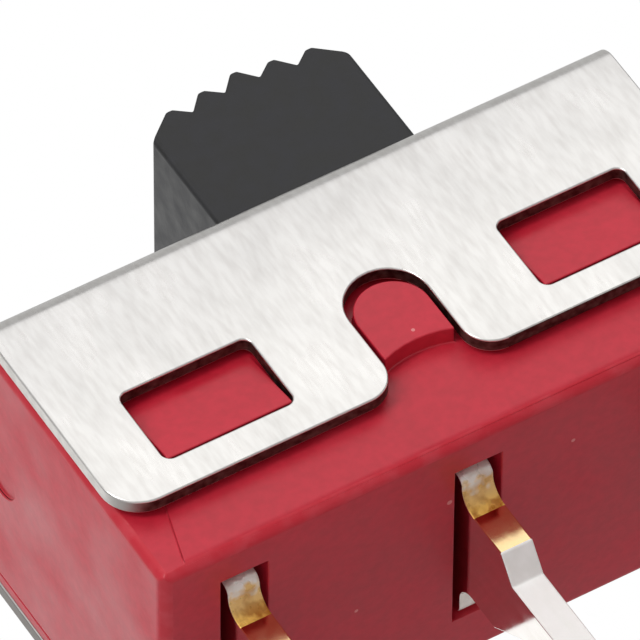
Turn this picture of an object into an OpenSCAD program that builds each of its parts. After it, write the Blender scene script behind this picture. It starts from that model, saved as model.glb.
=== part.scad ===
// Miniature slide switch, one pole and two ways, with a rocking contact.
// The origin is the centre of the body's bottom face. X runs along the slider's travel and the
// row of terminals, Z points up through the knob, and the terminals go down.

/* [Body] */
// Length of the body and of the frame
body_l = 12.7; // [11.8:0.1:16]
// Width of the moulded body, between the frame's skirts
body_w = 6.04; // [6.0:0.02:8]
// Height of the moulded body
body_h = 6; // [5.5:0.05:7]
// Thickness of the floor that holds the terminals
floor_t = 1.0; // [0.8:0.05:1.2]
// Thickness of the two end walls
end_wall = 0.65; // [0.5:0.05:0.8]
// Thickness of the side walls beside the slider's base
side_wall = 0.42; // [0.35:0.01:0.5]
// Width of the ledge that carries the slider's base on each side
ledge_w = 0.25; // [0.2:0.01:0.4]
// Rounding of the body's outer edges
edge_r = 0.25; // [0.05:0.01:0.35]
// How far the body's ends are set back from the frame's
end_inset = 0.02; // [0:0.01:0.1]
// How far the sides are set back beside the ends
relief_t = 0.03; // [0:0.01:0.06]

/* [Frame] */
// Thickness of the frame's sheet
sheet_t = 0.3; // [0.2:0.02:0.4]
// Inside radius of the two long bends
bend_r = 0.14; // [0.05:0.01:0.3]
// Gap between a skirt and the body's side
skirt_gap = 0.11; // [0.03:0.01:0.15]
// Height of the skirts' lower edge above the body's bottom
skirt_lift = 1.3; // [0.8:0.05:1.5]
// Radius of the skirts' lower corners
skirt_corner_r = 0.75; // [0.2:0.05:1]
// Length of a window
window_l = 2.6; // [1.8:0.1:3]
// Height of a window
window_h = 1.68; // [1.2:0.01:1.9]
// Metal left between a window and the frame's end
window_end = 1.25; // [1:0.05:1.6]
// Metal left between a window and the skirt's lower edge
window_lift = 0.65; // [0.4:0.01:0.9]
// Radius of a window's corners
window_r = 0.18; // [0.05:0.01:0.3]
// Width of the notch in the middle of a skirt
notch_w = 1.57; // [1.2:0.01:1.8]
// Height of the notch above the skirt's lower edge
notch_h = 2.5; // [1.8:0.01:2.8]
// Radius where the notch meets the skirt's lower edge
notch_flare_r = 0.6; // [0.2:0.05:0.8]

/* [Snap bosses] */
// Gap round a snap wedge in its window
wedge_gap = 0.05; // [0.03:0.01:0.1]
// Gap beside the round boss in its notch
boss_gap = 0.08; // [0.04:0.01:0.15]
// How far below the frame's outer face the bosses end
boss_recess = 0.04; // [0.03:0.01:0.15]
// Height of the round boss's lower edge above the skirt's lower edge
boss_lift = 0.81; // [0.5:0.01:1]
// How much lower the ends of that edge are than its middle
boss_arch = 0.13; // [0.05:0.01:0.2]

/* [Slider] */
// Length of the knob along the travel
knob_l = 4.08; // [3:0.02:5]
// Width of the knob
knob_w = 3.3; // [2.6:0.1:3.8]
// Height of the knob above the frame
knob_h = 4; // [3:0.1:6]
// Travel of the slider from end to end
travel = 2.4; // [1.6:0.1:3]
// Number of ribs on the knob
rib_count = 5; // [3:1:7]
// Spacing of the ribs
rib_pitch = 0.72; // [0.5:0.01:0.75]
// Depth of the grooves between the ribs
rib_depth = 0.28; // [0.15:0.01:0.35]
// Width of the flat on top of each rib
rib_flat = 0.13; // [0.05:0.01:0.2]
// How much lower the end ribs are than the middle one
rib_crown = 0.2; // [0:0.01:0.25]
// How far the knob's top falls from an end rib to the end
rib_fall = 0.45; // [0.2:0.05:0.8]
// Thickness of the slider's base
base_t = 0.95; // [0.7:0.05:1.2]
// Sliding clearance of the base and of the knob
slide_gap = 0.05; // [0.03:0.01:0.08]
// Gap between the base and the end wall at each end of the travel
stop_gap = 0.05; // [0.03:0.01:0.1]

/* [Terminals] */
// Spacing of the three terminals
pitch = 4.7; // [3.9:0.1:4.9]
// Thickness of a terminal
blade_t = 0.64; // [0.5:0.02:0.78]
// How far the row of terminals is set off the middle, towards the rear
row_shift = -0.18; // [-0.2:0.01:0.2]
// Length of each slot in the floor
slot_l = 4.08; // [3.9:0.02:4.2]
// Gap between a terminal's flat and its slot
slot_gap = 0.15; // [0.05:0.01:0.2]
// Reach of a terminal's shoulder to the front of the row's middle
shoulder_front = 1.71; // [1.5:0.01:1.95]
// Reach of a terminal's shoulder to the rear of the row's middle
shoulder_rear = 1.98; // [1.5:0.01:1.98]
// Height of a terminal's shoulder above the body's bottom
seat_lift = 0.02; // [0:0.01:0.15]
// Radius of a shoulder's lower corners
shoulder_r = 0.2; // [0.05:0.01:0.3]
// Width of the neck below the shoulder
neck_w = 2.22; // [2:0.02:2.8]
// Depth below the body at which the neck's front edge starts to narrow
neck_l = 1.28; // [1:0.01:2]
// Height over which the front edge narrows to the pin
taper_l = 0.38; // [0.3:0.01:0.6]
// Depth below the body at which the neck's rear edge starts to narrow
rear_neck_l = 1.12; // [1:0.01:2]
// Height over which the rear edge narrows to the pin
rear_taper_l = 0.85; // [0.3:0.01:1]
// Radius where the neck meets the shoulder
neck_r = 0.4; // [0.1:0.01:0.5]
// Width of the pin
pin_w = 1.1; // [0.9:0.02:1.8]
// How far the pin is set to the front of the neck's middle
pin_shift = 0.04; // [0:0.01:0.1]
// Length of a terminal below the body
pin_l = 4.6; // [3.5:0.1:6]
// Chamfer of the pin's tip
tip_c = 0.35; // [0.1:0.05:0.5]

/* [Contacts] */
// Angle that the rocker leans to each side
tilt = 5; // [4:0.5:6]
// Width of the rocker
rocker_w = 3.2; // [2.8:0.1:3.4]
// Thickness of the rocker
rocker_t = 0.6; // [0.5:0.02:0.7]
// Depth of the track that the plunger runs in
track_depth = 0.17; // [0.14:0.01:0.2]
// Distance of the contact buttons from the terminals, towards the middle
button_inset = 1.1; // [1:0.05:1.3]
// Radius of the rocker's buttons
button_r = 0.55; // [0.45:0.01:0.6]
// Height of the rocker's buttons
button_h = 0.2; // [0.15:0.01:0.3]
// Radius of the dome under a button
dome_r = 2; // [1.5:0.1:3]
// Radius of a contact's rivet shank
shank_r = 0.3; // [0.2:0.01:0.35]
// Radius of the fixed contacts
fixed_r = 0.62; // [0.5:0.01:0.65]
// Height of the fixed contacts
fixed_h = 0.18; // [0.1:0.01:0.3]
// Gap between contacts that touch, and under the plunger
touch_gap = 0.015; // [0.01:0.005:0.03]

/* [Plunger and spring] */
// Radius of the plunger
plunger_r = 0.8; // [0.7:0.01:0.9]
// Running clearance of the plunger in its bore
plunger_gap = 0.03; // [0.02:0.005:0.05]
// Length of the plunger
plunger_l = 2.7; // [2:0.1:3]
// Radius of the spring's pocket in the plunger
pocket_r = 0.56; // [0.5:0.01:0.6]
// Depth of the spring's pocket in the plunger
pocket_l = 1.3; // [1:0.05:1.5]
// Height of the bore in the slider, above the body's top
bore_rise = 1.2; // [0.8:0.1:1.8]
// Radius of the spring to the middle of its wire
coil_r = 0.4; // [0.35:0.01:0.44]
// Diameter of the spring's wire
wire_d = 0.14; // [0.1:0.01:0.18]
// Number of turns of the spring
coil_turns = 8; // [6:1:10]

/* [Hidden] */
$fn = 48;
LEFT = -1;
RIGHT = 1;
cut = 1;                                        // how far a cutting solid runs past a face

// body
inner_hl = body_l / 2 - end_wall;               // half length of the cavity
upper_hw = body_w / 2 - side_wall;              // half width beside the slider's base
lower_hw = upper_hw - ledge_w;                  // half width below it
ledge_z = body_h - base_t - 2 * slide_gap;
top_r = bend_r;                                 // the long top edges clear the frame's bends
slot_w = blade_t + 2 * slot_gap;
gate_r = 0.5;                                   // moulding gate's dimple on each end
gate_depth = 0.06;
gate_drop = 0.4;
relief_low = 0.21;                              // distance of the set-back's edge from the ends
relief_high = 1.15;                             // the same, at its upper end behind the skirt
relief_h = 2.3;

// frame
frame_w = body_w + 2 * (skirt_gap + sheet_t);
frame_top = body_h + sheet_t;
window_z = skirt_lift + window_lift;
window_x = body_l / 2 - window_end - window_l / 2;
knob_slot_r = 0.3;

// bosses
boss_out = skirt_gap + sheet_t - boss_recess;
boss_slope = 0.03;                              // how much less the round boss stands out on top
boss_hw = notch_w / 2 - boss_gap;
boss_top = skirt_lift + notch_h - 3 * boss_gap;
arch_r = (boss_hw * boss_hw + boss_arch * boss_arch) / (2 * boss_arch);

// slider
rest_x = travel / 2;                            // the slider rests at the end towards +X
base_hl = inner_hl - travel / 2 - stop_gap;
base_hw = upper_hw - slide_gap;
base_z = ledge_z + slide_gap;
knob_top = frame_top + knob_h;
knob_corner_r = 0.12;
slot_hl = knob_l / 2 + travel / 2 + 2 * stop_gap;

// rocker, measured from its pivot, which is the middle of the common terminal's round top edge
groove_gap = 0.02;
groove_depth = 0.13;
rocker_z = blade_t / 2 + groove_gap - groove_depth;
rocker_top = rocker_z + rocker_t;
track_z = rocker_top - track_depth;
tilt_rate = tilt * PI / 180 / (travel / 2);     // radians of lean per millimetre of travel
track_r = (1 - track_z * tilt_rate) / (2 * tilt_rate);
button_x = pitch - button_inset;
rocker_hl = button_x + button_r + 0.1;
rocker_corner_r = 0.3;
dome_z = rocker_z - button_h + dome_r;          // centre of a button's dome
rivet_head_r = 0.45;
rivet_head_h = 0.08;
ear_hw = 1.7;                                   // the common terminal's two ears
saddle_hw = 1.2;
ear_gap = 0.1;
ear_h = rocker_top + 0.12;
foot_hw = min(slot_l / 2 + abs(row_shift) + 0.1, lower_hw - 0.05);
foot_h = 0.5;

// heights of the contacts, from the floor up
pad_top = floor_t + blade_t;
fixed_top = pad_top + fixed_h;
fixed_x = button_x * cos(tilt) + dome_z * sin(tilt);
pivot_z = fixed_top + touch_gap + dome_r - dome_z * cos(tilt) + button_x * sin(tilt);
pad_end = fixed_x - fixed_r - 0.1;

// plunger and spring
tip_z = pivot_z + track_z + touch_gap;
pocket_z = tip_z + plunger_l - pocket_l;
bore_z = body_h + bore_rise;
bore_r = plunger_r + plunger_gap;
collar_r = bore_r + 0.45;
collar_z = max(ledge_z - 0.9, pivot_z + ear_h + 0.3);
stub_r = coil_r - wire_d / 2 - 0.06;
stub_l = 0.5;
coil_steps = 18;                                // rings in one turn of the spring
wire_sides = 8;
end_turns = 1;                                  // turns lying close together at each end
close_pitch = wire_d * 1.15;

// A rectangle about the origin with round corners.
module round_rect(l, w, r) {
    square([l - 2 * r, w], center = true);
    square([l, w - 2 * r], center = true);
    for (x = [-1, 1], y = [-1, 1])
        translate([x * (l / 2 - r), y * (w / 2 - r)])
            circle(r);
}

// A rectangle standing on y = 0, round at its two lower corners only.
module round_foot(l, h, r) {
    translate([-l / 2, r])
        square([l, h - r]);
    translate([-l / 2 + r, 0])
        square([l - 2 * r, h]);
    for (x = [-1, 1])
        translate([x * (l / 2 - r), r])
            circle(r);
}

// The same, turned over: round at its two upper corners.
module round_head(l, h, r) {
    translate([0, h])
        mirror([0, 1])
            round_foot(l, h, r);
}

// Extrudes a drawing of X and Z along Y, from y0 to y1.
module along_y(y0, y1) {
    translate([0, y1, 0])
        rotate([90, 0, 0])
            linear_extrude(y1 - y0)
                children();
}

// Extrudes a drawing of Y and Z along X, from x0 to x1.
module along_x(x0, x1) {
    translate([x0, 0, 0])
        rotate([90, 0, 90])
            linear_extrude(x1 - x0)
                children();
}

// Body ------------------------------------------------------------------------------------------

// The block with its rounded edges.
module body_block() {
    core_l = body_l - 2 * end_inset;
    intersection() {
        linear_extrude(body_h)
            round_rect(core_l, body_w, edge_r);
        along_x(-body_l, body_l)
            union() {
                round_foot(body_w, body_h - top_r, edge_r);
                translate([0, body_h / 2])
                    round_head(body_w, body_h / 2, top_r);
            }
        along_y(-body_w, body_w)
            round_foot(core_l, body_h, edge_r);
    }
}

// A snap wedge: flush with the side on top, and square at the bottom, where it holds the window.
module snap_wedge() {
    low = window_z + wedge_gap;
    high = window_z + window_h - wedge_gap;
    reach = body_w / 2 + boss_out;
    half_l = window_l / 2 - wedge_gap;
    lip = 0.12;
    root = (body_w - side_wall) / 2;
    along_x(-half_l, half_l)
        polygon([[root, low], [reach, low], [reach, low + lip], [body_w / 2, high], [root, high]]);
}

// The boss in the notch: a round top, a sloping face and an arched lower edge.
module round_boss() {
    low = skirt_lift + boss_lift;
    reach = body_w / 2 + boss_out;
    intersection() {
        along_y((body_w - side_wall) / 2, reach)
            difference() {
                union() {
                    translate([-boss_hw, low - boss_arch])
                        square([2 * boss_hw, boss_top - boss_hw - low + boss_arch]);
                    translate([0, boss_top - boss_hw])
                        circle(boss_hw);
                }
                translate([0, low - arch_r])
                    circle(arch_r, $fn = 96);
            }
        along_x(-boss_hw - cut, boss_hw + cut)
            polygon([[0, 0], [reach, 0], [reach, low], [reach - boss_slope, boss_top], [0, boss_top]]);
    }
}

module housing() {
    color("crimson")
    difference() {
        union() {
            body_block();
            for (side = [0, 1])
                mirror([0, side, 0]) {
                    round_boss();
                    for (end = [LEFT, RIGHT])
                        translate([end * window_x, 0, 0])
                            snap_wedge();
                }
        }
        // room for the rocker, and above it for the slider's base
        translate([-inner_hl, -lower_hw, floor_t])
            cube([2 * inner_hl, 2 * lower_hw, body_h]);
        translate([-inner_hl, -upper_hw, ledge_z])
            cube([2 * inner_hl, 2 * upper_hw, body_h]);
        // slots for the terminals
        for (i = [-1, 0, 1])
            translate([i * pitch - slot_w / 2, row_shift - slot_l / 2, -cut])
                cube([slot_w, slot_l, floor_t + 2 * cut]);
        // the sides' set-back beside the ends
        for (side = [0, 1], end = [0, 1])
            mirror([0, side, 0])
                mirror([end, 0, 0])
                    along_y(body_w / 2 - relief_t, body_w)
                        polygon([[body_l / 2 - relief_low, -cut], [body_l, -cut], [body_l, relief_h],
                                 [body_l / 2 - relief_high, relief_h]]);
        // gate dimples
        for (end = [LEFT, RIGHT])
            translate([end * (body_l / 2 - end_inset - gate_depth), 0, body_h - gate_drop])
                rotate([0, end * 90, 0])
                    cylinder(r = gate_r, h = cut);
    }
}

// Frame -----------------------------------------------------------------------------------------

// The skirt's outline with its notch and windows, standing on the skirt's lower edge.
module skirt_outline() {
    difference() {
        round_foot(body_l, frame_top, skirt_corner_r);
        translate([-notch_w / 2, -cut])
            square([notch_w, notch_h - notch_w / 2 + cut]);
        translate([0, notch_h - notch_w / 2])
            circle(notch_w / 2);
        difference() {
            translate([-notch_w / 2 - notch_flare_r, -cut])
                square([notch_w + 2 * notch_flare_r, notch_flare_r + cut]);
            for (x = [-1, 1])
                translate([x * (notch_w / 2 + notch_flare_r), notch_flare_r])
                    circle(notch_flare_r);
        }
        for (x = [-1, 1])
            translate([x * window_x, window_lift + window_h / 2])
                round_rect(window_l, window_h, window_r);
    }
}

module frame() {
    skirt_h = frame_top - skirt_lift;
    inner_w = frame_w - 2 * sheet_t;
    color("gainsboro")
    translate([0, 0, skirt_lift])
        difference() {
            intersection() {
                along_x(-body_l / 2, body_l / 2)
                    difference() {
                        round_head(frame_w, skirt_h, bend_r + sheet_t);
                        translate([0, -cut])
                            round_head(inner_w, skirt_h - sheet_t + cut, bend_r);
                    }
                along_y(-frame_w, frame_w)
                    skirt_outline();
            }
            translate([0, 0, skirt_h - cut])
                linear_extrude(2 * cut)
                    round_rect(2 * slot_hl, knob_w + 4 * slide_gap, knob_slot_r);
        }
}

// Slider ----------------------------------------------------------------------------------------

// Height of the ribs' tops at a distance x from the knob's middle.
function crest(x) = knob_top - rib_crown * abs(x) / (rib_pitch * (rib_count - 1) / 2);

// The knob seen from the side: flat-topped ribs with grooves of 45 degrees between them.
module knob_outline() {
    first = -rib_pitch * (rib_count - 1) / 2;
    hl = knob_l / 2;
    ribs = [for (i = [0 : rib_count - 1])
                let (x = first + i * rib_pitch)
                each [[x - rib_flat / 2, crest(x)], [x + rib_flat / 2, crest(x)]]];
    valleys = [for (i = [0 : rib_count - 2])
                   let (x = first + (i + 0.5) * rib_pitch)
                   [x, crest(x) - rib_depth]];
    top = [for (i = [0 : rib_count - 1])
               each concat([ribs[2 * i], ribs[2 * i + 1]], i < rib_count - 1 ? [valleys[i]] : [])];
    low = crest(first) - rib_fall;
    polygon(concat([[-hl, base_z], [-hl, low]], top, [[hl, low], [hl, base_z]]));
}

module slider() {
    color("#26282b")
    translate([rest_x, 0, 0])
        difference() {
            union() {
                intersection() {
                    along_y(-knob_w / 2, knob_w / 2)
                        knob_outline();
                    linear_extrude(knob_top + cut)
                        round_rect(knob_l, knob_w, knob_corner_r);
                }
                translate([0, 0, base_z])
                    linear_extrude(base_t)
                        round_rect(2 * base_hl, 2 * base_hw, edge_r);
                translate([0, 0, collar_z])
                    cylinder(r = collar_r, h = base_z - collar_z + base_t / 2);
            }
            difference() {
                translate([0, 0, collar_z - cut])
                    cylinder(r = bore_r, h = bore_z - collar_z + cut);
                translate([0, 0, bore_z - stub_l])
                    cylinder(r = stub_r, h = stub_l + cut);
            }
        }
}

// Plunger: a round-ended pin with a pocket for the spring.
module plunger() {
    color("ivory")
    translate([rest_x, 0, tip_z])
        difference() {
            union() {
                translate([0, 0, plunger_r])
                    cylinder(r = plunger_r, h = plunger_l - plunger_r);
                translate([0, 0, plunger_r])
                    sphere(plunger_r);
            }
            translate([0, 0, plunger_l - pocket_l])
                cylinder(r = pocket_r, h = pocket_l + cut);
        }
}

// Height of the spring's wire after t turns: close turns at both ends and an even rise between.
function coil_z(t, length) =
    let (close = end_turns * close_pitch,
         open = (length - wire_d - 2 * close) / (coil_turns - 2 * end_turns))
    wire_d / 2 + (t < end_turns ? t * close_pitch
                : t > coil_turns - end_turns ? length - wire_d - (coil_turns - t) * close_pitch
                : close + (t - end_turns) * open);

// A coil spring of round wire that stands on z = 0.
module coil_spring(length) {
    rings = coil_turns * coil_steps;
    points = [for (i = [0 : rings], j = [0 : wire_sides - 1])
                 let (turn = 360 * i / coil_steps,
                      around = 360 * j / wire_sides,
                      r = coil_r + wire_d / 2 * cos(around))
                 [r * cos(turn), r * sin(turn),
                  coil_z(i / coil_steps, length) + wire_d / 2 * sin(around)]];
    walls = [for (i = [0 : rings - 1], j = [0 : wire_sides - 1])
                let (a = i * wire_sides + j,
                     b = i * wire_sides + (j + 1) % wire_sides)
                [a, b, b + wire_sides, a + wire_sides]];
    start = [for (j = [wire_sides - 1 : -1 : 0]) j];
    finish = [for (j = [0 : wire_sides - 1]) rings * wire_sides + j];
    polyhedron(points, concat(walls, [start], [finish]));
}

module spring() {
    color("lightsteelblue")
    translate([rest_x, 0, pocket_z])
        coil_spring(bore_z - pocket_z);
}

// Terminals -------------------------------------------------------------------------------------

// The flat part of a terminal below the height top, drawn in Y and Z.
module blade_outline(top) {
    neck_hw = neck_w / 2;
    pin_front = -pin_w / 2 - pin_shift;
    pin_rear = pin_w / 2 - pin_shift;
    shoulder_w = shoulder_front + shoulder_rear;
    translate([row_shift, 0])
        union() {
            translate([(shoulder_rear - shoulder_front) / 2, seat_lift])
                round_foot(shoulder_w, top - seat_lift, shoulder_r);
            polygon([[-neck_hw, seat_lift + shoulder_r], [-neck_hw, -neck_l],
                     [pin_front, -neck_l - taper_l], [pin_front, tip_c - pin_l],
                     [pin_front + tip_c, -pin_l], [pin_rear - tip_c, -pin_l],
                     [pin_rear, tip_c - pin_l], [pin_rear, -rear_neck_l - rear_taper_l],
                     [neck_hw, -rear_neck_l], [neck_hw, seat_lift + shoulder_r]]);
            neck_fillet(-1, min(neck_r, shoulder_front - shoulder_r - neck_hw));
            neck_fillet(1, min(neck_r, shoulder_rear - shoulder_r - neck_hw));
        }
}

// The round corner of radius r between the neck's front or rear edge and the shoulder.
module neck_fillet(side, r) {
    difference() {
        translate([side * (neck_w + r) / 2, seat_lift - r / 2])
            square(r, center = true);
        translate([side * (neck_w / 2 + r), seat_lift - r])
            circle(r);
    }
}

// An end terminal: the blade comes up through the floor and bends over on it, towards the middle.
module end_terminal(end) {
    inner_r = slot_gap;
    bend_x = pitch - blade_t / 2 - inner_r;
    bend_z = floor_t - inner_r;
    color("goldenrod")
    mirror([end == LEFT ? 1 : 0, 0, 0])
        difference() {
            union() {
                along_x(pitch - blade_t / 2, pitch + blade_t / 2)
                    blade_outline(bend_z);
                along_y(row_shift - shoulder_front, row_shift + shoulder_rear)
                    union() {
                        intersection() {
                            translate([bend_x, bend_z])
                                difference() {
                                    circle(inner_r + blade_t);
                                    circle(inner_r);
                                }
                            translate([bend_x, bend_z])
                                square(2 * blade_t);
                        }
                        translate([pad_end, floor_t])
                            square([bend_x - pad_end, blade_t]);
                    }
            }
            translate([fixed_x, 0, floor_t - cut])
                cylinder(r = shank_r, h = blade_t + 2 * cut);
        }
}

module terminal_left() {
    end_terminal(LEFT);
}

module terminal_right() {
    end_terminal(RIGHT);
}

// The common terminal: feet on the floor, a round edge that the rocker sits on, and an ear on
// each side that keeps the rocker in place.
module terminal_common() {
    color("goldenrod")
    union() {
        along_x(-blade_t / 2, blade_t / 2)
            union() {
                blade_outline(floor_t);
                translate([-foot_hw, floor_t])
                    square([2 * foot_hw, foot_h]);
                translate([-ear_hw, floor_t])
                    square([2 * ear_hw, pivot_z - floor_t]);
                for (side = [-1, 1])
                    translate([side * (ear_hw + saddle_hw) / 2, pivot_z + ear_h / 2])
                        square([ear_hw - saddle_hw, ear_h], center = true);
            }
        translate([0, saddle_hw, pivot_z])
            rotate([90, 0, 0])
                cylinder(r = blade_t / 2, h = 2 * saddle_hw);
    }
}

// A fixed contact: a flat silver disc riveted into the end terminal's pad.
module fixed_contact(end) {
    color("silver")
    translate([end * fixed_x, 0, floor_t])
        union() {
            cylinder(r = shank_r, h = blade_t + fixed_h / 2);
            translate([0, 0, blade_t])
                cylinder(r = fixed_r, h = fixed_h);
        }
}

module fixed_contact_left() {
    fixed_contact(LEFT);
}

module fixed_contact_right() {
    fixed_contact(RIGHT);
}

// Rocker ----------------------------------------------------------------------------------------

// Puts what is drawn about the pivot in its place, leaning the way that the slider pushes it.
module leaning() {
    translate([0, 0, pivot_z])
        rotate([0, tilt, 0])
            children();
}

module rocker() {
    waist_hl = blade_t / 2 + ear_gap + ear_h * sin(tilt);
    waist_hw = saddle_hw - ear_gap;
    color("silver")
    leaning()
        difference() {
            translate([0, 0, rocker_z])
                linear_extrude(rocker_t)
                    difference() {
                        round_rect(2 * rocker_hl, rocker_w, rocker_corner_r);
                        for (side = [-1, 1])
                            translate([0, side * (waist_hw + rocker_w / 2)])
                                square([2 * waist_hl, rocker_w], center = true);
                        for (end = [LEFT, RIGHT])
                            translate([end * button_x, 0])
                                circle(shank_r);
                    }
            // the track on top, and the groove that sits on the common terminal
            translate([0, rocker_w, track_z + track_r])
                rotate([90, 0, 0])
                    cylinder(r = track_r, h = 2 * rocker_w, $fn = 180);
            translate([0, rocker_w, 0])
                rotate([90, 0, 0])
                    cylinder(r = blade_t / 2 + groove_gap, h = 2 * rocker_w);
        }
}

// A rocker button: a domed head below, a shank through the strip and a flat head on top.
module rocker_button(end) {
    color("whitesmoke")
    leaning()
        translate([end * button_x, 0, 0])
            union() {
                intersection() {
                    translate([0, 0, rocker_z - button_h])
                        cylinder(r = button_r, h = button_h);
                    translate([0, 0, dome_z])
                        sphere(dome_r, $fn = 96);
                }
                translate([0, 0, rocker_z - button_h / 2])
                    cylinder(r = shank_r, h = rocker_t + button_h / 2);
                translate([0, 0, rocker_top])
                    cylinder(r = rivet_head_r, h = rivet_head_h);
            }
}

module rocker_button_left() {
    rocker_button(LEFT);
}

module rocker_button_right() {
    rocker_button(RIGHT);
}

housing();
frame();
slider();
plunger();
spring();
terminal_left();
terminal_common();
terminal_right();
fixed_contact_left();
fixed_contact_right();
rocker();
rocker_button_left();
rocker_button_right();
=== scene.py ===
import math

import bpy
from mathutils import Matrix, Vector


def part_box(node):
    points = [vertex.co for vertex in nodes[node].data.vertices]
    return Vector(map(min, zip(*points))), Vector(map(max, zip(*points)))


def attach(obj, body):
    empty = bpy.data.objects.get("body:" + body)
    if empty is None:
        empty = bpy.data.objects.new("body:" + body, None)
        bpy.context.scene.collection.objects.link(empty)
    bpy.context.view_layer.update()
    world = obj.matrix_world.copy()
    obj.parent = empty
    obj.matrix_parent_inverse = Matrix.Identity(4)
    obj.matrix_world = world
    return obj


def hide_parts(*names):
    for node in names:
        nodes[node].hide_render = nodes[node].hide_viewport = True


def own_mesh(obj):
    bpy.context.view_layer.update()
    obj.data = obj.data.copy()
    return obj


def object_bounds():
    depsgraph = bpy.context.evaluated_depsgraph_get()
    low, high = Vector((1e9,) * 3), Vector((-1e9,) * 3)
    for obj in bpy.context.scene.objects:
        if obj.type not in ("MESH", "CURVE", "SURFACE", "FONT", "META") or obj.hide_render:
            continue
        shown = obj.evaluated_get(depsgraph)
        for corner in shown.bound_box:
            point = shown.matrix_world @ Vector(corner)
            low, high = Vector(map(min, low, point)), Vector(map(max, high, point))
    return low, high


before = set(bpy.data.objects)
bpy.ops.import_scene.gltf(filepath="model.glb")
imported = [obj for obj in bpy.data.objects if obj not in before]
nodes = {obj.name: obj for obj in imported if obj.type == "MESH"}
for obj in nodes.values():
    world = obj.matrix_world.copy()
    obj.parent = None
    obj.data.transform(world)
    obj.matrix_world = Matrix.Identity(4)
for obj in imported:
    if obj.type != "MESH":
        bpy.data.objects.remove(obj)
cad_low, cad_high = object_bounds()
bpy.ops.object.select_all(action="DESELECT")
MM = 0.001


# Camera. A long lens below the front left corner looks up at the switch, rolled, so that the
# front skirt, the bottom face with its terminals and the left end are all in view.
camera_data = bpy.data.cameras.new("camera")
camera_data.lens = 675.0
camera_data.sensor_width = 36.0
camera_data.shift_x = 0.0248
camera_data.shift_y = -0.0221
camera_data.clip_start = 0.01
camera_data.clip_end = 20.0
camera = bpy.data.objects.new("camera", camera_data)
bpy.context.scene.collection.objects.link(camera)
camera_right = Vector((0.85712, -0.00379, -0.51510))
camera_up = Vector((0.39190, -0.64417, 0.65686))
camera_back = Vector((-0.33430, -0.76487, -0.55065))
turn = Matrix((camera_right, camera_up, camera_back)).transposed()
camera.rotation_mode = "QUATERNION"
camera.rotation_quaternion = turn.to_quaternion()
camera.location = Vector((-70.647, -162.111, -110.529)) * MM
bpy.context.scene.camera = camera
bpy.context.scene.view_settings.view_transform = "Standard"


# Light. A dim studio room, a low bright panel in front on the left, and two soft boxes: one in
# front and above, which the steel mirrors, and one behind on the left, which the end face mirrors.
# The background itself shows white.
room = bpy.data.worlds.new("room")
bpy.context.scene.world = room
room.use_nodes = True
room_nodes = room.node_tree.nodes
room_links = room.node_tree.links
room_nodes.clear()
room_out = room_nodes.new("ShaderNodeOutputWorld")
room_place = room_nodes.new("ShaderNodeTexCoord")
room_axes = room_nodes.new("ShaderNodeSeparateXYZ")
room_height = room_nodes.new("ShaderNodeMapRange")
room_height.inputs["From Min"].default_value = -1.0
room_height.inputs["From Max"].default_value = 1.0
room_shade = room_nodes.new("ShaderNodeValToRGB")
room_shade.color_ramp.elements[0].position = 0.50
room_shade.color_ramp.elements[0].color = (0.18, 0.18, 0.18, 1.0)
room_shade.color_ramp.elements[1].position = 0.85
room_shade.color_ramp.elements[1].color = (0.58, 0.58, 0.58, 1.0)
room_glow = room_nodes.new("ShaderNodeBackground")
room_seen = room_nodes.new("ShaderNodeBackground")
room_seen.inputs["Color"].default_value = (1.0, 1.0, 1.0, 1.0)
room_path = room_nodes.new("ShaderNodeLightPath")
room_mix = room_nodes.new("ShaderNodeMixShader")
room_links.new(room_place.outputs["Generated"], room_axes.inputs["Vector"])
room_links.new(room_axes.outputs["Z"], room_height.inputs["Value"])
room_links.new(room_height.outputs["Result"], room_shade.inputs["Fac"])
room_links.new(room_shade.outputs["Color"], room_glow.inputs["Color"])
room_links.new(room_path.outputs["Is Camera Ray"], room_mix.inputs["Fac"])
room_links.new(room_glow.outputs["Background"], room_mix.inputs[1])
room_links.new(room_seen.outputs["Background"], room_mix.inputs[2])
room_links.new(room_mix.outputs["Shader"], room_out.inputs["Surface"])


lamp_distance = 0.30
lamp_aim = Vector((0.0, 0.0, 0.003))


def soft_box(name, towards, width, height, watts):
    """A light panel that faces the switch from that direction, in metres and watts."""
    data = bpy.data.lights.new(name, "AREA")
    data.shape = "RECTANGLE"
    data.size = width
    data.size_y = height
    data.energy = watts
    lamp = bpy.data.objects.new(name, data)
    lamp.visible_camera = False
    bpy.context.scene.collection.objects.link(lamp)
    direction = Vector(towards).normalized()
    lamp.location = direction * lamp_distance + lamp_aim
    lamp.rotation_mode = "QUATERNION"
    lamp.rotation_quaternion = direction.to_track_quat("Z", "Y")


soft_box("low_panel", (-0.55, -0.82, 0.14), 0.22, 0.07, 0.40)
soft_box("front_box", (0.36, -0.824, 0.44), 0.26, 0.24, 0.165)
soft_box("rear_box", (-0.334, 0.765, 0.551), 0.26, 0.26, 0.15)


# Floor. A plain pale sheet under the pins; it is only there from above, so that the view from
# below isn't blocked by it.
bpy.ops.mesh.primitive_plane_add(size=1.2, location=(0.0, 0.0, cad_low.z - 0.02 * MM))
floor = bpy.context.active_object
floor.name = "floor"
floor_finish = bpy.data.materials.new("floor_paper")
floor_finish.use_nodes = True
floor_nodes = floor_finish.node_tree.nodes
floor_links = floor_finish.node_tree.links
floor_shader = floor_nodes["Principled BSDF"]
floor_shader.inputs["Base Color"].default_value = (0.75, 0.75, 0.75, 1.0)
floor_shader.inputs["Roughness"].default_value = 0.9
floor_side = floor_nodes.new("ShaderNodeNewGeometry")
floor_gone = floor_nodes.new("ShaderNodeBsdfTransparent")
floor_mix = floor_nodes.new("ShaderNodeMixShader")
floor_links.new(floor_side.outputs["Backfacing"], floor_mix.inputs["Fac"])
floor_links.new(floor_shader.outputs["BSDF"], floor_mix.inputs[1])
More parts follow.
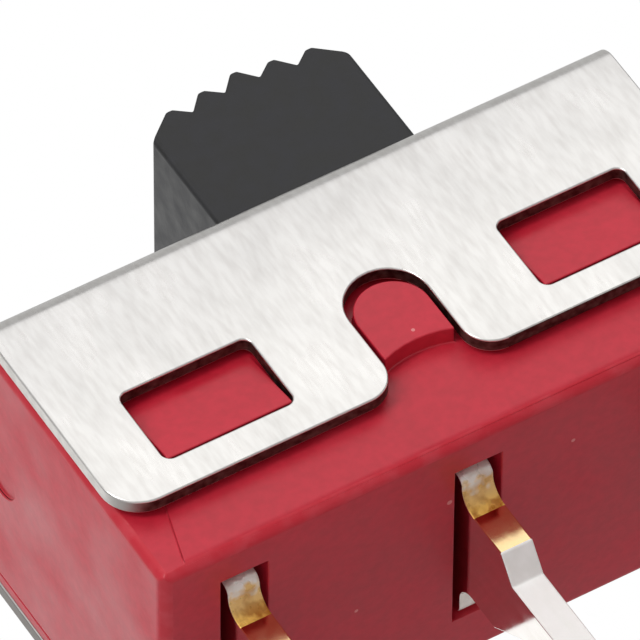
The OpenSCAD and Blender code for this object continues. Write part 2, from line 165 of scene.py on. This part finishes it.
floor_links.new(floor_gone.outputs["BSDF"], floor_mix.inputs[2])
floor_links.new(floor_mix.outputs["Shader"], floor_nodes["Material Output"].inputs["Surface"])
floor.data.materials.append(floor_finish)
bpy.ops.object.select_all(action="DESELECT")


# Moulded body. Red plastic, injection moulded in one piece, with small radii on its corners, a
# faint bloom and a few pale specks and rubs from handling; the pale specks on the rounded edges
# are partly painted highlights.
def merged_copy(node, name, near):
    """A selected copy of a CAD node in edit mode, with points nearer than that merged."""
    bpy.ops.object.select_all(action="DESELECT")
    piece = bpy.data.objects.new(name, nodes[node].data.copy())
    bpy.context.scene.collection.objects.link(piece)
    piece.select_set(True)
    bpy.context.view_layer.objects.active = piece
    bpy.ops.object.mode_set(mode="EDIT")
    bpy.ops.mesh.select_all(action="SELECT")
    bpy.ops.mesh.remove_doubles(threshold=near)
    return piece


def rounded_copy(node, name, corner, body, foot=None, keep=None):
    """Replaces a CAD node by one closed skin with its sharp edges rounded, corner in metres; a
    foot is a block that the node is cut to first, and keep tells which places stay sharp."""
    merge_within = 0.01 * MM
    flat_within = math.radians(1.5)
    sharp_from = math.radians(20.0)
    piece = merged_copy(node, name, merge_within)
    bpy.ops.mesh.dissolve_limited(angle_limit=flat_within)
    bpy.ops.object.mode_set(mode="OBJECT")
    bpy.ops.mesh.customdata_custom_splitnormals_clear()
    if foot:
        cut = piece.modifiers.new("cut", "BOOLEAN")
        cut.operation = "INTERSECT"
        cut.solver = "EXACT"
        cut.object = foot
        bpy.ops.object.modifier_apply(modifier="cut")
        bpy.data.objects.remove(foot)
    bpy.ops.object.mode_set(mode="EDIT")
    bpy.ops.mesh.select_mode(type="EDGE")
    bpy.ops.mesh.select_all(action="DESELECT")
    bpy.ops.mesh.edges_select_sharp(sharpness=sharp_from)
    bpy.ops.object.mode_set(mode="OBJECT")
    for edge in piece.data.edges:
        ends = [piece.data.vertices[index].co for index in edge.vertices]
        if edge.select and keep and keep((ends[0] + ends[1]) / 2, ends[1] - ends[0]):
            edge.select = False
    bpy.ops.object.mode_set(mode="EDIT")
    bpy.ops.transform.edge_bevelweight(value=1.0)
    bpy.ops.mesh.select_all(action="DESELECT")
    bpy.ops.object.mode_set(mode="OBJECT")
    bpy.ops.object.shade_smooth()
    rounding = piece.modifiers.new("rounding", "BEVEL")
    rounding.width = corner
    rounding.segments = 3
    rounding.limit_method = "WEIGHT"
    rounding.use_clamp_overlap = False
    rounding.harden_normals = True
    bpy.ops.object.modifier_apply(modifier="rounding")
    piece.data.materials.clear()
    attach(piece, body)
    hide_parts(node)
    return piece


def new_finish(name):
    """A new material; returns it with its links and its shader."""
    finish = bpy.data.materials.new(name)
    finish.use_nodes = True
    tree = finish.node_tree
    return finish, tree.links, tree.nodes["Principled BSDF"]


def grain(finish, per_mm, detail=3.0):
    """Noise fixed to the piece, with that many features in a millimetre along X, Y and Z."""
    tree = finish.node_tree
    place = tree.nodes.new("ShaderNodeTexCoord")
    scale = tree.nodes.new("ShaderNodeMapping")
    scale.inputs["Scale"].default_value = [count / MM for count in per_mm]
    noise = tree.nodes.new("ShaderNodeTexNoise")
    noise.inputs["Scale"].default_value = 1.0
    noise.inputs["Detail"].default_value = detail
    tree.links.new(place.outputs["Object"], scale.inputs["Vector"])
    tree.links.new(scale.outputs["Vector"], noise.inputs["Vector"])
    return noise.outputs["Fac"]


def shades(finish, source, stops):
    """Colours for a value from 0 to 1; a stop is its place and its red, green and blue."""
    ramp = finish.node_tree.nodes.new("ShaderNodeValToRGB")
    while len(ramp.color_ramp.elements) < len(stops):
        ramp.color_ramp.elements.new(0.5)
    for element, (place, colour) in zip(ramp.color_ramp.elements, stops):
        element.position = place
        element.color = (*colour, 1.0)
    finish.node_tree.links.new(source, ramp.inputs["Fac"])
    return ramp.outputs["Color"]


def ranged(finish, source, start, end, low=0.0, high=1.0):
    """Values from low to high while the source goes from start to end."""
    mapper = finish.node_tree.nodes.new("ShaderNodeMapRange")
    for socket, value in zip(("From Min", "From Max", "To Min", "To Max"), (start, end, low, high)):
        mapper.inputs[socket].default_value = value
    finish.node_tree.links.new(source, mapper.inputs["Value"])
    return mapper.outputs["Result"]


def spread(finish, source, low, high):
    """Turns noise, which stays between about 0.3 and 0.7, into values from low to high."""
    return ranged(finish, source, 0.3, 0.7, low, high)


def reckoned(finish, way, *terms):
    """The result of one sum; a term is a number or a value from another node."""
    sum_node = finish.node_tree.nodes.new("ShaderNodeMath")
    sum_node.operation = way
    for socket, term in zip(sum_node.inputs, terms):
        if isinstance(term, float):
            socket.default_value = term
        else:
            finish.node_tree.links.new(term, socket)
    return sum_node.outputs["Value"]


def blended(finish, share, first, second, way="MIX"):
    """Mixes two colours by a share, which is a number or a value from another node."""
    tree = finish.node_tree
    mixer = tree.nodes.new("ShaderNodeMix")
    mixer.data_type = "RGBA"
    mixer.blend_type = way
    if isinstance(share, float):
        mixer.inputs["Factor"].default_value = share
    else:
        tree.links.new(share, mixer.inputs["Factor"])
    tree.links.new(first, mixer.inputs["A"])
    if isinstance(second, tuple):
        mixer.inputs["B"].default_value = (*second, 1.0)
    else:
        tree.links.new(second, mixer.inputs["B"])
    return mixer.outputs["Result"]


def relief(finish, source, depth):
    """Bumps as deep as depth, in metres, on the finish's shader."""
    tree = finish.node_tree
    bump = tree.nodes.new("ShaderNodeBump")
    bump.inputs["Distance"].default_value = depth
    tree.links.new(source, bump.inputs["Height"])
    tree.links.new(bump.outputs["Normal"], tree.nodes["Principled BSDF"].inputs["Normal"])


def specks(finish, per_mm, size, share):
    """1 inside small round specks and 0 elsewhere; share is the part of the cells with a speck."""
    tree = finish.node_tree
    place = tree.nodes.new("ShaderNodeTexCoord")
    cells = tree.nodes.new("ShaderNodeTexVoronoi")
    cells.inputs["Scale"].default_value = per_mm / MM
    tone = tree.nodes.new("ShaderNodeSeparateColor")
    tree.links.new(place.outputs["Object"], cells.inputs["Vector"])
    tree.links.new(cells.outputs["Color"], tone.inputs["Color"])
    near = reckoned(finish, "LESS_THAN", cells.outputs["Distance"], size)
    some = reckoned(finish, "LESS_THAN", tone.outputs["Red"], share)
    return reckoned(finish, "MULTIPLY", near, some)


body_low, body_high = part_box("housing")
foot_hw = 3.022 * MM
foot_h = 0.5 * MM
foot_r = 0.17 * MM
foot_play = 0.002 * MM
foot_sink = 0.0001 * MM
foot_widening = (1.2, 1.3, 1.0)

# A block with rounded lower edges, which the body is cut to. It is wide above, so that only the
# lowest 0.5 mm of the body is trimmed.
bpy.ops.object.select_all(action="DESELECT")
bpy.ops.mesh.primitive_cube_add(size=1.0)
body_foot = bpy.context.active_object
body_foot.scale = (body_high.x - body_low.x + 2 * foot_play, 2 * foot_hw, foot_h)
body_foot.location = (0.0, 0.0, foot_h / 2 - foot_sink)
bpy.ops.object.transform_apply(location=True, rotation=False, scale=True)
bpy.ops.object.mode_set(mode="EDIT")
bpy.ops.mesh.select_mode(type="EDGE")
bpy.ops.mesh.select_all(action="DESELECT")
bpy.ops.object.mode_set(mode="OBJECT")
for edge in body_foot.data.edges:
    ends = [body_foot.data.vertices[index].co for index in edge.vertices]
    edge.select = min(ends[0].z, ends[1].z) < foot_h / 2
bpy.ops.object.mode_set(mode="EDIT")
bpy.ops.mesh.bevel(offset=foot_r, segments=6, affect="EDGES")
bpy.ops.mesh.select_mode(type="FACE")
bpy.ops.mesh.select_all(action="DESELECT")
bpy.ops.object.mode_set(mode="OBJECT")
for face in body_foot.data.polygons:
    face.select = face.normal.z > 0.9
bpy.ops.object.mode_set(mode="EDIT")
bpy.ops.mesh.extrude_region_move()
bpy.ops.transform.resize(value=foot_widening, center_override=(0.0, 0.0, 0.0))
bpy.ops.mesh.extrude_region_move(TRANSFORM_OT_translate={"value": (0.0, 0.0, body_high.z)})
bpy.ops.mesh.select_all(action="SELECT")
bpy.ops.mesh.normals_make_consistent(inside=False)
bpy.ops.object.mode_set(mode="OBJECT")
bpy.ops.object.select_all(action="DESELECT")

body_corner = 0.03 * MM
step_nearest = 0.12 * MM
step_farthest = 1.4 * MM
step_side = 2.95 * MM


def stays_sharp(middle, along):
    """The slanting edge of the sides' set-back beside the ends, too shallow to be rounded."""
    inset = body_high.x - abs(middle.x)
    steep = abs(along.z) > abs(along.x)
    return step_nearest < inset < step_farthest and abs(middle.y) > step_side and steep


body_piece = rounded_copy("housing", "moulded_body", body_corner, "switch_body",
                          body_foot, stays_sharp)
red_finish, red_links, red_shader = new_finish("red_moulding")
red_cloud = grain(red_finish, (0.7, 0.7, 0.7), 4.0)
red_mottle = grain(red_finish, (5.0, 5.0, 5.0))
red_base = shades(red_finish, red_cloud,
                  [(0.35, (0.54, 0.010, 0.030)), (0.65, (0.61, 0.020, 0.044))])
red_tone = shades(red_finish, red_mottle, [(0.35, (0.90, 0.86, 0.86)), (0.65, (1.0, 1.0, 1.0))])
red_even = blended(red_finish, 1.0, red_base, red_tone, "MULTIPLY")
red_rubbed = blended(red_finish, specks(red_finish, 1.6, 0.09, 0.12), red_even, (0.72, 0.22, 0.22))
red_links.new(red_rubbed, red_shader.inputs["Base Color"])
red_links.new(spread(red_finish, red_cloud, 0.30, 0.50), red_shader.inputs["Roughness"])
relief(red_finish, grain(red_finish, (9.0, 9.0, 9.0)), 0.0020 * MM)

# The rounded lower edges and the corners are rubbed a little paler, and the pale specks on them
# are partly rubs and partly painted highlights that stand in for small glints.
rub_glint_finish, rub_glint_links, rub_glint_shader = new_finish("rubbed_edge_and_painted_glints")
rub_noise = grain(rub_glint_finish, (2.2, 2.2, 2.2), 5.0)
rub_base = shades(rub_glint_finish, rub_noise,
                  [(0.46, (0.57, 0.012, 0.030)), (0.66, (0.60, 0.035, 0.055))])
# Painted highlight: these pale specks on the edges stand in for small glints as well as rubs.
rub_and_glint_specks = blended(rub_glint_finish, specks(rub_glint_finish, 2.5, 0.10, 0.22), rub_base, (0.80, 0.40, 0.40))
rub_glint_links.new(rub_and_glint_specks, rub_glint_shader.inputs["Base Color"])
rub_glint_links.new(spread(rub_glint_finish, rub_noise, 0.42, 0.34), rub_glint_shader.inputs["Roughness"])
relief(rub_glint_finish, grain(rub_glint_finish, (3.5, 3.5, 3.5)), 0.005 * MM)
body_piece.data.materials.append(red_finish)
body_piece.data.materials.append(rub_glint_finish)
rub_glint_height = 0.16 * MM
rub_glint_reach = 0.26 * MM
rub_glint_outside_x = 6.1 * MM
rub_glint_outside_y = 2.8 * MM
for face in body_piece.data.polygons:
    middle = face.center
    outside = abs(middle.x) > rub_glint_outside_x or abs(middle.y) > rub_glint_outside_y
    low = middle.z < rub_glint_height and outside
    corner = abs(middle.x) > body_high.x - rub_glint_reach and abs(middle.y) > foot_hw - rub_glint_reach
    turned = max(abs(side) for side in face.normal) < 0.995
    face.material_index = 1 if (low or corner) and turned else 0

# Two upright ribs close the gap to the rear skirt at the body's ends.
rib_size = (0.7 * MM, 0.25 * MM, 4.4 * MM)
rib_y = 2.985 * MM
rib_z = 3.6 * MM
rib_corner = 0.03 * MM
for end in (-1, 1):
    bpy.ops.mesh.primitive_cube_add(size=1.0)
    end_rib = bpy.context.active_object
    end_rib.name = "end_rib_left" if end < 0 else "end_rib_right"
    end_rib.scale = rib_size
    end_rib.location = (end * (body_high.x - rib_size[0] / 2), rib_y, rib_z)
    bpy.ops.object.transform_apply(location=True, rotation=False, scale=True)
    bpy.ops.object.shade_smooth()
    rib_edges = end_rib.modifiers.new("edges", "BEVEL")
    rib_edges.width = rib_corner
    rib_edges.segments = 3
    rib_edges.harden_normals = True
    bpy.ops.object.modifier_apply(modifier="edges")
    end_rib.data.materials.append(red_finish)
    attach(end_rib, "switch_body")
    bpy.ops.object.select_all(action="DESELECT")


# Frame. Bright steel strip, 0.3 mm thick, pierced and blanked, then folded down over the body on
# both sides, where its windows and notches snap over the wedges and bosses. The rolling grain
# runs across the two folds. The cut edges are rough and painted dark as painted shade, standing in
# for the shade and dark reflections in them, with a painted highlight towards the ends.
def place_along(finish, axis):
    """The place on the piece along X, Y or Z, in metres."""
    tree = finish.node_tree
    place = tree.nodes.new("ShaderNodeTexCoord")
    axes = tree.nodes.new("ShaderNodeSeparateXYZ")
    tree.links.new(place.outputs["Object"], axes.inputs["Vector"])
    return axes.outputs[axis]


frame_corner = 0.035 * MM
frame_piece = rounded_copy("frame", "folded_frame", frame_corner, "switch_body")
frame_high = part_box("frame")[1]
steel_finish, steel_links, steel_shader = new_finish("bright_steel")
steel_shader.inputs["Metallic"].default_value = 1.0
steel_grain = grain(steel_finish, (9.0, 9.0, 2.0), 4.0)
steel_cloud = grain(steel_finish, (1.1, 1.1, 0.6))
steel_base = shades(steel_finish, steel_grain,
                    [(0.30, (0.69, 0.67, 0.645)), (0.62, (0.78, 0.765, 0.74))])

# The sheet's colour is painted darker towards the folds, as painted shade that is darkest in a band
# where each fold begins; the top is painted a little darker too.
painted_shade_start = 2.5 * MM
painted_shade_end = 6.3 * MM
steel_height = ranged(steel_finish, place_along(steel_finish, "Z"), painted_shade_start, painted_shade_end)
steel_painted_shade = shades(steel_finish, steel_height,
                    [(0.0, (1.0, 1.0, 1.0)), (0.865, (0.875, 0.875, 0.885)),
                     (0.905, (0.79, 0.79, 0.80)), (0.925, (0.90, 0.90, 0.90)),
                     (0.95, (0.96, 0.96, 0.96)), (1.0, (0.90, 0.90, 0.90))])
steel_links.new(blended(steel_finish, 1.0, steel_base, steel_painted_shade, "MULTIPLY"),
                steel_shader.inputs["Base Color"])
steel_links.new(spread(steel_finish, steel_cloud, 0.24, 0.38), steel_shader.inputs["Roughness"])
relief(steel_finish, steel_grain, 0.0005 * MM)

# The cut edges, painted dark as painted shade; a painted highlight makes them brighter towards
# the ends, and more so in front than behind.
shear_finish, shear_links, shear_shader = new_finish("sheared_edge_painted_shade_and_glint")
shear_shader.inputs["Metallic"].default_value = 1.0
shear_noise = grain(shear_finish, (7.0, 7.0, 7.0), 4.0)
# Painted shade: the cut edges' base colour is nearly black.
shear_painted_dark = shades(shear_finish, shear_noise,
                    [(0.35, (0.05, 0.035, 0.03)), (0.68, (0.16, 0.14, 0.12))])
# Painted highlight: the cut edges are lightened towards the ends, more in front than behind.
painted_glint_start = 5.8 * MM
painted_glint_end = 6.3 * MM
painted_glint_side = 3.0 * MM
shear_off = reckoned(shear_finish, "ABSOLUTE", place_along(shear_finish, "X"))
glint_by_end = ranged(shear_finish, shear_off, painted_glint_start, painted_glint_end)
glint_by_side = ranged(shear_finish, place_along(shear_finish, "Y"), painted_glint_side, -painted_glint_side,
                    0.25, 1.0)
painted_glint_share = reckoned(shear_finish, "MULTIPLY", glint_by_end, glint_by_side)
shear_links.new(blended(shear_finish, painted_glint_share, shear_painted_dark, (0.72, 0.70, 0.67)),
                shear_shader.inputs["Base Color"])
shear_links.new(spread(shear_finish, shear_noise, 0.42, 0.58), shear_shader.inputs["Roughness"])
relief(shear_finish, shear_noise, 0.004 * MM)
frame_piece.data.materials.append(steel_finish)
frame_piece.data.materials.append(shear_finish)

skirt_top = frame_high.z - 0.5 * MM
flat_top_hw = 3.03 * MM
end_depth = 0.04 * MM
for face in frame_piece.data.polygons:
    middle = face.center
    if middle.z < skirt_top:
        sheared = abs(face.normal.y) < 0.25
    else:
        sheared = abs(face.normal.z) < 0.25 and abs(middle.y) < flat_top_hw
    at_end = abs(middle.x) > frame_high.x - end_depth and abs(face.normal.x) > 0.9
    face.material_index = 1 if sheared or at_end else 0


# Slider. Black plastic with a fine matte skin; the knob's five ribs run across its top, and its
# base slides on the body's ledges under the frame.
slider_corner = 0.045 * MM
slider_piece = rounded_copy("slider", "ribbed_slider", slider_corner, "slider_body")
black_finish, black_links, black_shader = new_finish("black_moulding")
black_cloud = grain(black_finish, (2.5, 2.5, 2.5), 4.0)
black_base = shades(black_finish, black_cloud,
                    [(0.35, (0.007, 0.0068, 0.0068)), (0.65, (0.016, 0.016, 0.019))])
black_links.new(black_base, black_shader.inputs["Base Color"])
black_links.new(spread(black_finish, black_cloud, 0.42, 0.56), black_shader.inputs["Roughness"])
relief(black_finish, grain(black_finish, (16.0, 16.0, 16.0)), 0.0020 * MM)
slider_piece.data.materials.append(black_finish)


# Plunger and spring. A smooth ivory-coloured plastic pin that runs on the rocker, and a coil of
# drawn steel wire in its pocket that presses it down; the slider's bore holds both.
def clouded(name, per_mm, dark, light, smooth, rough, metallic=0.0):
    """A finish whose colour and roughness drift with one noise; returns it with that noise."""
    finish, links, shader = new_finish(name)
    shader.inputs["Metallic"].default_value = metallic
    cloud = grain(finish, per_mm)
    base = shades(finish, cloud, [(0.3, dark), (0.7, light)])
    links.new(base, shader.inputs["Base Color"])
    links.new(spread(finish, cloud, smooth, rough), shader.inputs["Roughness"])
    return finish, cloud


ivory_finish = clouded("ivory_moulding", (2.0, 2.0, 2.0), (0.72, 0.69, 0.58), (0.80, 0.77, 0.67),
                       0.28, 0.40)[0]
nodes["plunger"].data.materials.clear()
nodes["plunger"].data.materials.append(ivory_finish)
wire_finish = clouded("drawn_wire", (6.0, 6.0, 6.0), (0.50, 0.50, 0.50), (0.66, 0.66, 0.65),
                      0.22, 0.34, metallic=1.0)[0]

# The coil reaches from the plunger's pocket to the top of the bore.
coil_merge = 0.005 * MM
coil = merged_copy("spring", "pressing_coil", coil_merge)
bpy.ops.object.mode_set(mode="OBJECT")
bpy.ops.object.shade_smooth()
coil.data.materials.clear()
coil.data.materials.append(wire_finish)
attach(coil, "slider_body")
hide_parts("spring")
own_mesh(coil)
bpy.ops.object.select_all(action="DESELECT")


# Terminals. Blanked copper-alloy strip, 0.64 mm thick, pushed up through the floor. The flats are
# plated bright, the shoulders are rough gold, painted pale cream above as a painted reflection of
# the pale floor and with brown patches painted in as reflections of the red body, the necks are
# smooth gold, and the pins are dipped in tin.
flat_finish = clouded("plated_flat", (3.0, 3.0, 1.0), (0.78, 0.74, 0.70), (0.86, 0.83, 0.80),
                      0.07, 0.12, metallic=1.0)[0]

# Above a wavy line across the shoulder, which is lower on the rear shoulder, the gold is painted
# pale cream, a painted reflection of the pale floor.
shoulder_finish, shoulder_links, shoulder_shader = new_finish("pressed_shoulder")
shoulder_shader.inputs["Metallic"].default_value = 0.25
shoulder_noise = grain(shoulder_finish, (4.0, 4.0, 4.0), 2.0)
wave_height = 0.2 * MM
wave_lean = 0.08
gold_start = 0.15 * MM
gold_full = -0.25 * MM
shoulder_wave = reckoned(shoulder_finish, "MULTIPLY_ADD", shoulder_noise, wave_height,
                         place_along(shoulder_finish, "Z"))
shoulder_lean = reckoned(shoulder_finish, "MULTIPLY_ADD", place_along(shoulder_finish, "Y"),
                         wave_lean, shoulder_wave)
shoulder_depth = ranged(shoulder_finish, shoulder_lean, gold_start, gold_full)
shoulder_gold_and_painted_cream = shades(shoulder_finish, shoulder_depth,
                       [(0.36, (0.98, 0.94, 0.88)), (0.46, (0.95, 0.64, 0.26)),
                        (0.95, (0.95, 0.57, 0.12))])
# Painted reflection: brown patches in the gold stand in for the red body mirrored in it.
shoulder_painted_red_reflection = shades(shoulder_finish, grain(shoulder_finish, (3.0, 3.0, 3.0)),
                        [(0.42, (0.52, 0.34, 0.18)), (0.55, (1.0, 1.0, 1.0))])
shoulder_links.new(blended(shoulder_finish, shoulder_depth, shoulder_gold_and_painted_cream, shoulder_painted_red_reflection,
                           "MULTIPLY"),
                   shoulder_shader.inputs["Base Color"])
shoulder_links.new(spread(shoulder_finish, shoulder_noise, 0.22, 0.40),
                   shoulder_shader.inputs["Roughness"])
relief(shoulder_finish, grain(shoulder_finish, (2.5, 2.5, 2.5), 2.0), 0.10 * MM)

neck_finish = clouded("gold_neck", (3.0, 3.0, 3.0), (0.88, 0.64, 0.32), (0.92, 0.71, 0.40),
                      0.09, 0.15, metallic=1.0)[0]
relief(neck_finish, grain(neck_finish, (3.0, 3.0, 1.5)), 0.003 * MM)
tin_finish, tin_cloud = clouded("dipped_tin", (4.0, 4.0, 2.0), (0.90, 0.89, 0.86),
                                (0.97, 0.96, 0.94), 0.35, 0.50, metallic=0.25)
relief(tin_finish, tin_cloud, 0.004 * MM)
strip_corner = 0.03 * MM
neck_top = -0.42 * MM
tin_top = -1.20 * MM
for node in ("terminal_left", "terminal_common", "terminal_right"):
    strip = rounded_copy(node, node + "_strip", strip_corner, "switch_body")
    for finish in (flat_finish, shoulder_finish, neck_finish, tin_finish):
        strip.data.materials.append(finish)
    for face in strip.data.polygons:
        if abs(face.normal.x) > 0.95:
            face.material_index = 0
        elif face.center.z > neck_top:
            face.material_index = 1
        elif face.center.z > tin_top:
            face.material_index = 2
        else:
            face.material_index = 3


# Contacts. Silver-plated rocker strip with riveted buttons, and polished silver pads on the end
# terminals.
plate_finish = clouded("silver_plate", (1.0, 6.0, 6.0), (0.72, 0.70, 0.64), (0.82, 0.80, 0.75),
                       0.24, 0.36, metallic=1.0)[0]
nodes["rocker"].data.materials.clear()
nodes["rocker"].data.materials.append(plate_finish)

silver_finish = clouded("contact_metal", (5.0, 5.0, 5.0), (0.82, 0.82, 0.80),
                        (0.90, 0.90, 0.88), 0.14, 0.24, metallic=1.0)[0]
for node in ("fixed_contact_left", "fixed_contact_right",
             "rocker_button_left", "rocker_button_right"):
    nodes[node].data.materials.clear()
    nodes[node].data.materials.append(silver_finish)
